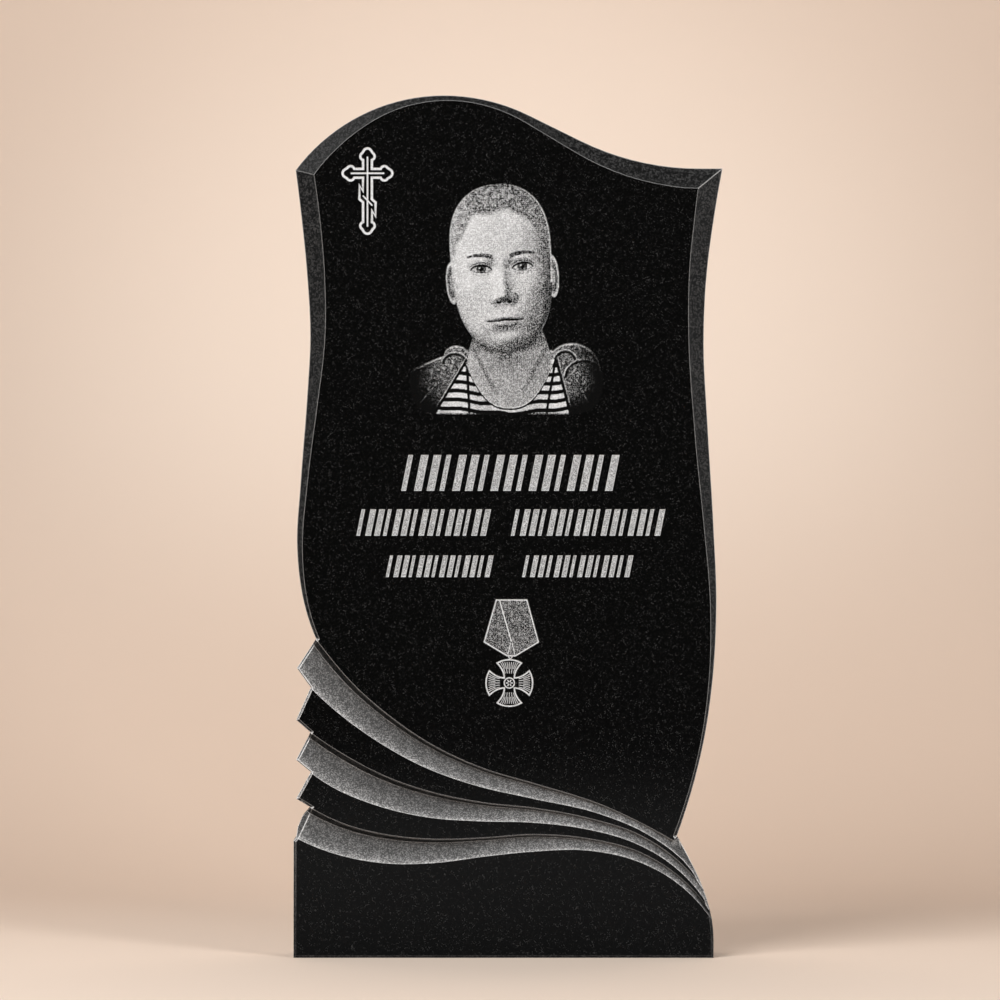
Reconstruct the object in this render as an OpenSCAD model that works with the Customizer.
// A headstone carved from one slab of dark stone.
// The front faces -Y, +X is to the right and +Z is up. The origin is at the middle of the
// underside. The outline is drawn once on a template of template_w by template_h, as a mason
// draws it on paper, and the template is then stretched to the wanted width and height.
// All sizes are in millimetres.

/* [Overall size] */
// Width between the two widest points
stone_w = 498; // [350:1:800]
// Height from the underside to the crown
stone_h = 1000; // [700:1:1600]
// Thickness of the slab
stone_t = 80; // [50:1:150]

/* [Wavy top, on the template] */
// How far left of the middle the crown is
crown_offset = 75; // [50:1:100]
// How far below the crown the left shoulder is
left_drop = 86; // [65:1:110]
// How far below the crown the right shoulder is
right_drop = 84; // [65:1:110]
// Radius of the crown to its right. The radius to its left follows from the left shoulder.
crown_r = 225; // [150:1:300]
// Slope of the straight stretch between the crown and the hollow, in degrees
wave_slope = 26; // [21:0.5:31]
// Length of the level stretch at the right shoulder
shoulder_flat = 27; // [15:1:40]

/* [Front bevel] */
// Width of the bevel at the left shoulder
bevel_left = 21; // [8:0.5:28]
// Width of the bevel at the right shoulder
bevel_right = 24; // [8:0.5:28]
// Width of the bevel at its narrowest, on the crown
bevel_crown = 6; // [3:0.5:12]
// Depth of the bevel for each millimetre of its width
bevel_slope = 0.7; // [0.4:0.05:1]
// Width of the small arris round the teeth, the foot and the base
arris = 3; // [1:0.25:4]

/* [Back] */
// Width of the arris round the back
back_arris = 3; // [1:0.25:6]

/* [Channels] */
// Greatest depth of a channel
channel_depth = 12; // [4:0.5:20]
// Greatest depth of a channel for each millimetre of its width, where it is narrow
channel_taper = 0.42; // [0.2:0.01:0.5]
// Share of a channel's width that its steep upper wall takes
wall_share = 0.17; // [0.1:0.01:0.3]
// Width of the small arris along both edges of a channel
lip = 1.2; // [0.5:0.1:2]
// Width of the arris at a channel's open left end
open_arris = 2.5; // [0.5:0.25:4]

/* [Hidden] */

template_w = 498;
template_h = 1000;
left_edge = -249;

// Length of one step along a curve, and the turn of one step along an arc
curve_step = 12;
arc_step = 3;
// How far a cutter reaches outside the stone
clear = 4;
// Number of flats across a channel's curved floor
floor_flats = 8;
// Slope of the arris along a channel's lower edge. Along its upper edge it is 45 degrees.
lower_lip_slope = 0.6;
// How far from a shoulder the bevel's sections lean towards its mitre
mitre_reach = 70;

// Knots of the curves on the template. Each curve passes smoothly through its knots.

// The left side, from the shoulder down to the first tooth
left_side_knots = [
    [-247, template_h - left_drop], [-241, 865], [-233.5, 790], [-230, 722], [-233.5, 650],
    [-241, 550], [-245, 478], [-242, 440], [-235, 404], [-223, 370],
];
// The right side, from the shoulder down to the notch above the foot
right_side_knots = [
    [249, template_h - right_drop], [239.5, 861], [230.5, 792], [227, 715], [231.5, 617],
    [238, 505], [241.5, 409], [237, 322], [227, 253], [210, 185], [195.5, 141.5],
];
// The curved foot, from the notch down to the base
foot_knots = [[195.5, 141.5], [210.5, 114], [226.5, 79], [236, 45], [238, 20]];

// Each channel has an upper and a lower edge. Knots with the same number face each other.
channel_1_upper = [
    [-223, 370], [-207, 349], [-182, 320], [-136, 279.5], [-85, 245.5], [-29, 220],
    [30, 202.5], [110, 177], [157, 155], [191.5, 136],
];
channel_1_lower = [
    [-245, 336], [-229, 313.5], [-206, 291.5], [-157, 254.5], [-98, 221.5], [-36.5, 199.5],
    [25, 185.5], [106, 167], [153, 148], [186.5, 127],
];
channel_2_upper = [
    [-229.5, 261.5], [-194, 238], [-140.5, 210], [-87, 192], [-30, 180.5],
    [30, 174], [90, 163], [151, 143.5], [191, 118], [222, 86], [235, 68],
];
channel_2_lower = [
    [-246, 229.5], [-213, 203.5], [-153.5, 177], [-93.5, 163], [-32.5, 158.5],
    [27.5, 157], [87, 150], [146, 133.5], [184.5, 112], [217, 81.5], [231, 62],
];
channel_3_upper = [
    [-229.5, 174.5], [-194, 157], [-140.5, 143], [-87, 138], [-30, 139.5],
    [30, 143.5], [90, 139], [152, 123], [197, 95.5], [232, 57],
];
channel_3_lower = [
    [-246, 139], [-206.5, 122.5], [-146, 110], [-87, 110], [-28.5, 117.5],
    [31, 123.5], [87.5, 125], [146, 113.5], [191, 90.5], [240, 38],
];

// Below the first channel's right end the panel stops, and the channel runs out over the foot.
// There its upper edge turns round the panel's corner and goes on outside the stone.
runout_upper = [[196.5, 144], [220, 140], [244, 112]];
runout_lower = [[203, 113], [220, 90], [232, 66]];

// The polished bands between the channels end in teeth on the left: each one's tip and the
// notch above it. The lowest tooth, which the third channel runs out of, is rounded.
first_band_notch = [-229, 313.5];
first_band_tip = [-246, 276];
second_band_notch = [-229, 215.5];
second_band_tip = [-246, 184.5];
round_tooth = [[-244.5, 151], [-239.5, 163]];

// Bevel widths along the sides, as [height on the template, width]
left_bevel_knots = [
    [330, arris], [409, 4.5], [480, 6.5], [560, 8.5], [620, 11.5],
    [700, bevel_left * 0.79], [800, bevel_left], [template_h - left_drop, bevel_left],
];
right_bevel_knots = [
    [141, arris + 1], [300, arris + 1], [400, 7], [480, 10.5], [580, 15],
    [720, bevel_right * 0.75], [830, bevel_right * 0.92], [template_h - right_drop, bevel_right],
];
// Bevel widths along the top, as [place across the template, width]
top_bevel_knots = [
    [-247, bevel_left], [-196, 16.5], [-129, 9], [-50, bevel_crown], [10, 8.5],
    [75, 14.5], [143, 20.5], [249, bevel_right],
];

// ---- Curves ----

function unit(v) = v / norm(v);

// Direction and speed of the curve at a knot, from a parabola through it and its neighbours
function inner_slope(k, i) =
    let (before = k[i] - k[i - 1], after = k[i + 1] - k[i], d1 = norm(before), d2 = norm(after))
    (before / d1 * d2 + after / d2 * d1) / (d1 + d2);
function end_slope(from, to, other) = 2 * (to - from) / norm(to - from) - other;
function knot_slope(k, i) =
    i == 0 ? end_slope(k[0], k[1], inner_slope(k, 1))
    : i == len(k) - 1 ? end_slope(k[i - 1], k[i], inner_slope(k, i - 1))
    : inner_slope(k, i);

// A point on the stretch after knot i, t of the way along it
function on_curve(k, i, t) =
    let (d = norm(k[i + 1] - k[i]))
    k[i] * (2 * t * t * t - 3 * t * t + 1)
    + knot_slope(k, i) * d * (t * t * t - 2 * t * t + t)
    + k[i + 1] * (3 * t * t - 2 * t * t * t)
    + knot_slope(k, i + 1) * d * (t * t * t - t * t);

// Steps on each stretch of a curve
function steps(k) =
    [for (i = [0:len(k) - 2]) ceil(norm(k[i + 1] - k[i]) / curve_step)];

// The curve through knots k, with counts[i] steps on its stretch i
function curve(k, counts) = concat(
    [for (i = [0:len(k) - 2]) for (j = [0:counts[i] - 1]) on_curve(k, i, j / counts[i])],
    [k[len(k) - 1]]
);
function smooth(k) = curve(k, steps(k));

function arc(centre, r, from, to) =
    let (n = ceil(abs(to - from) / arc_step))
    [for (i = [0:n]) let (a = from + (to - from) * i / n) centre + r * [cos(a), sin(a)]];

function last_of(list) = list[len(list) - 1];
function without_first(list) = [for (i = [1:len(list) - 1]) list[i]];
function reversed(list) = [for (i = [len(list) - 1:-1:0]) list[i]];

// Stretches a point or a list of points from the template to the stone's own size
function fit(p) = [p.x * stone_w / template_w, p.y * stone_h / template_h];
function fit_all(list) = [for (p = list) fit(p)];

// ---- Outline, clockwise from the left shoulder ----

// The crown's left arc is level at the crown and ends at the left shoulder
crown = [-crown_offset, template_h];
left_shoulder = left_side_knots[0];
to_shoulder = left_shoulder - crown;
crown_left_r = to_shoulder * to_shoulder / (2 * left_drop);
crown_left_angle = 90 + asin(-to_shoulder.x / crown_left_r);

// To its right come an arc, a straight stretch and the hollow's arc. The hollow's radius and the
// stretch's length are those with which it ends level, at the flat of the right shoulder.
run = right_side_knots[0].x + crown_offset - shoulder_flat;
rise = 1 - cos(wave_slope);
hollow_r = (run * sin(wave_slope) - right_drop * cos(wave_slope)) / rise - crown_r;
wave_straight = (right_drop * sin(wave_slope) - run * rise) / rise;
crown_end = crown + crown_r * [sin(wave_slope), cos(wave_slope) - 1];
hollow_start = crown_end + wave_straight * [cos(wave_slope), -sin(wave_slope)];
hollow_centre = hollow_start + hollow_r * [sin(wave_slope), cos(wave_slope)];

top_edge = concat(
    [left_shoulder],
    without_first(arc(crown - [0, crown_left_r], crown_left_r, crown_left_angle, 90)),
    without_first(arc(crown - [0, crown_r], crown_r, 90, 90 - wave_slope)),
    [(crown_end + hollow_start) / 2],
    arc(hollow_centre, hollow_r, 270 - wave_slope, 270)
);
right_edge = smooth(right_side_knots);
foot_edge = without_first(smooth(foot_knots));
base_edge = [
    [last_of(foot_knots).x, 0], [left_edge, 0], [left_edge, channel_3_lower[0].y - 3],
];
teeth_edge = [
    channel_3_lower[0], each round_tooth, channel_3_upper[0], second_band_tip, second_band_notch,
    channel_2_lower[0], channel_2_upper[0], first_band_tip, first_band_notch,
    channel_1_lower[0],
];
left_edge_line = reversed(without_first(smooth(left_side_knots)));

outline = fit_all(concat(top_edge, right_edge, foot_edge, base_edge, teeth_edge, left_edge_line));
right_shoulder = len(top_edge);

// Width of the front bevel at each point of the outline
function widths(points, knots, axis) =
    let (table = smooth(knots))
    [for (p = points) lookup(axis == "x" ? p.x : p.y, table)];
function same(points, value) = [for (p = points) value];

front_widths = concat(
    widths(top_edge, top_bevel_knots, "x"),
    widths(right_edge, right_bevel_knots, "z"),
    same(foot_edge, arris),
    same(base_edge, arris),
    same(teeth_edge, arris),
    widths(left_edge_line, left_bevel_knots, "z")
);

// ---- Cutters ----

// From a template-plane point and a distance y to the back, a point in space
function at(p, y) = [p.x, y, p.y];

// Inward normal of the edge from a to b on a clockwise outline
function inward(a, b) = let (d = unit(b - a)) [d.y, -d.x];

// The step inwards at corner i that moves both of its edges in by 1
function mitre(i) =
    let (
        n = len(outline),
        before = inward(outline[(i + n - 1) % n], outline[i]),
        after = inward(outline[i], outline[(i + 1) % n])
    )
    (before + after) / (1 + before * after);

// Direction of the outline at corner i
function along(i) = let (n = len(outline)) unit(outline[(i + 1) % n] - outline[(i + n - 1) % n]);

// Near a shoulder the sections of the wide bevel lean towards the shoulder's own mitre, so that
// they don't cross it
function lean(i, corner) =
    let (away = norm(outline[i] - outline[corner]))
    away == 0 || away > mitre_reach ? [0, 0]
    : along(i) * (mitre(corner) * along(i)) * (1 - away / mitre_reach);
function step_in(i) = mitre(i) + lean(i, 0) + lean(i, right_shoulder);

// A closed ring round the outline, four corners to each section, that cuts a bevel off the
// edge at y = face. side is 1 where the stone lies at greater y, and -1 where at smaller y. The
// section's second corner lies on the outline itself, where the bevel meets the stone's side.
module ring_cutter(bevel_widths, slope, face, side) {
    n = len(outline);
    points = [
        for (i = [0:n - 1])
            let (p = outline[i], m = step_in(i), w = bevel_widths[i])
            each [
                at(p + m * (w + clear), face - side * clear * slope),
                at(p, face + side * w * slope),
                at(p - m * clear, face + side * w * slope),
                at(p - m * clear, face - side * clear * slope),
            ]
    ];
    faces = [
        for (i = [0:n - 1])
            for (j = [0:3])
                let (
                    a = 4 * i + j,
                    b = 4 * i + (j + 1) % 4,
                    c = 4 * ((i + 1) % n) + (j + 1) % 4,
                    d = 4 * ((i + 1) % n) + j
                )
                each side > 0 ? [[a, c, b], [a, d, c]] : [[a, b, c], [a, c, d]]
    ];
    polyhedron(points, faces);
}

// Profile of a channel of width w, as [distance from its upper edge, depth], from the lip of
// the upper wall over the hollow floor to the lip of the lower edge
function profile(w) =
    let (
        depth = min(channel_depth, channel_taper * w),
        wall = wall_share * w,
        edge = min(lip, w / 10),
        floor_end = w - edge,
        lip_depth = lower_lip_slope * edge
    )
    concat(
        [[-clear, -clear], [edge, edge], [wall, depth]],
        [
            for (j = [1:floor_flats])
                let (t = j / floor_flats)
                [wall + (floor_end - wall) * t, lip_depth + (depth - lip_depth) * (1 - t * t)]
        ],
        [[w + clear, -clear * lower_lip_slope]]
    );

// One section of a channel's cutter, from its upper edge at u to its lower edge at v. The
// first point is the middle of the section's outer side, from which all the others are seen.
// sink moves the section deeper, for the arris at the channel's open end.
function section(u, v, sink) =
    let (w = norm(v - u), e = unit(v - u), front = -stone_t / 2)
    concat(
        [at((u + v) / 2, front - clear)],
        [for (q = profile(w)) at(u + e * q.x, front + q.y + (q.y > 0 ? sink : 0))]
    );

module sweep(sections) {
    n = len(sections);
    m = len(sections[0]);
    faces = concat(
        [
            for (i = [0:n - 2])
                for (j = [0:m - 1])
                    let (
                        a = i * m + j,
                        b = i * m + (j + 1) % m,
                        c = (i + 1) * m + (j + 1) % m,
                        d = (i + 1) * m + j
                    )
                    each [[a, b, c], [a, c, d]]
        ],
        [for (j = [1:m - 2]) [0, j + 1, j]],
        [for (j = [1:m - 2]) (n - 1) * m * [1, 1, 1] + [0, j, j + 1]]
    );
    polyhedron([for (s = sections) each s], faces);
}

// A channel between two edges on the stone, which have as many points as each other. Its open
// left end lies along the line between their first points, and falls away from there at 45
// degrees.
module channel_cutter(upper, lower) {
    last = len(upper) - 1;
    reach = 3 * clear;
    across = unit(lower[0] - upper[0]);
    outside = [across.y, -across.x] * reach;
    sweep(concat(
        [section(upper[0] + outside, lower[0] + outside, open_arris + reach)],
        [section(upper[0], lower[0], open_arris)],
        [
            section(
                upper[0] + unit(upper[1] - upper[0]) * open_arris,
                lower[0] + unit(lower[1] - lower[0]) * open_arris,
                0
            )
        ],
        [for (i = [1:last]) section(upper[i], lower[i], 0)],
        [
            section(
                upper[last] + unit(upper[last] - upper[last - 1]) * reach,
                lower[last] + unit(lower[last] - lower[last - 1]) * reach,
                0
            )
        ]
    ));
}

// ---- Sub-parts ----

// Both edges of a channel, with as many points on each
function edges(upper, lower) =
    let (counts = steps(upper))
    [fit_all(curve(upper, counts)), fit_all(curve(lower, counts))];
function joined(a, b) = [for (i = [0:1]) concat(a[i], without_first(b[i]))];

runout = edges(
    concat([last_of(channel_1_upper)], runout_upper),
    concat([last_of(channel_1_lower)], runout_lower)
);
channels = [
    joined(edges(channel_1_upper, channel_1_lower), runout),
    edges(channel_2_upper, channel_2_lower),
    edges(channel_3_upper, channel_3_lower),
];

module headstone() {
    color([0.07, 0.07, 0.075])
        difference() {
            rotate([90, 0, 0])
                translate([0, 0, -stone_t / 2])
                    linear_extrude(stone_t)
                        polygon(outline);
            ring_cutter(front_widths, bevel_slope, -stone_t / 2, 1);
            ring_cutter(same(outline, back_arris), 1, stone_t / 2, -1);
            for (c = channels)
                channel_cutter(c[0], c[1]);
        }
}

headstone();
